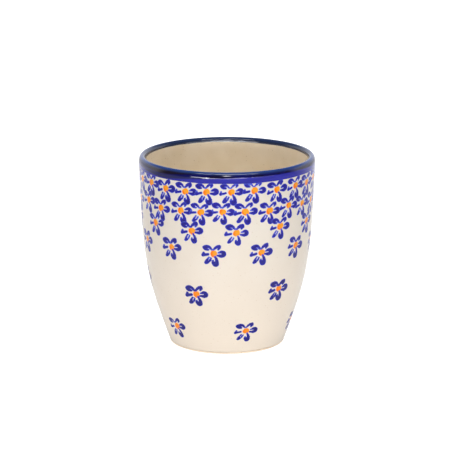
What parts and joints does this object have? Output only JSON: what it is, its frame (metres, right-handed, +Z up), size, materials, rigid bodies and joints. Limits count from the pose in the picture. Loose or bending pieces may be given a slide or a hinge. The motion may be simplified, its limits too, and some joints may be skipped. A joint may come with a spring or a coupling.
{
  "type": "stoneware mug",
  "caption": "Handleless glazed stoneware mug: tapered round cup with a cobalt rim and rows of stamped blue flowers, for holding a drink.",
  "frame": {"origin": "centre of the plane that the foot ring rests on", "axes": "+Z up along the axis of revolution; -Y faces the viewer, +X to the viewer's right"},
  "size_m": [0.088, 0.088, 0.095],
  "materials": {
    "bare_stoneware": "matte",
    "clear_glaze": "gloss",
    "cobalt_glaze": "gloss",
    "liner_glaze": "gloss",
    "underside_glaze": "gloss",
    "petal_blue": "gloss",
    "centre_orange": "gloss"
  },
  "bodies": {
    "root": {"stoneware_body": "bare_stoneware", "outer_glaze": "clear_glaze", "rim_glaze_band": "cobalt_glaze", "inner_glaze": "liner_glaze", "underside_glaze": "underside_glaze"}
  },
  "joints": []
}
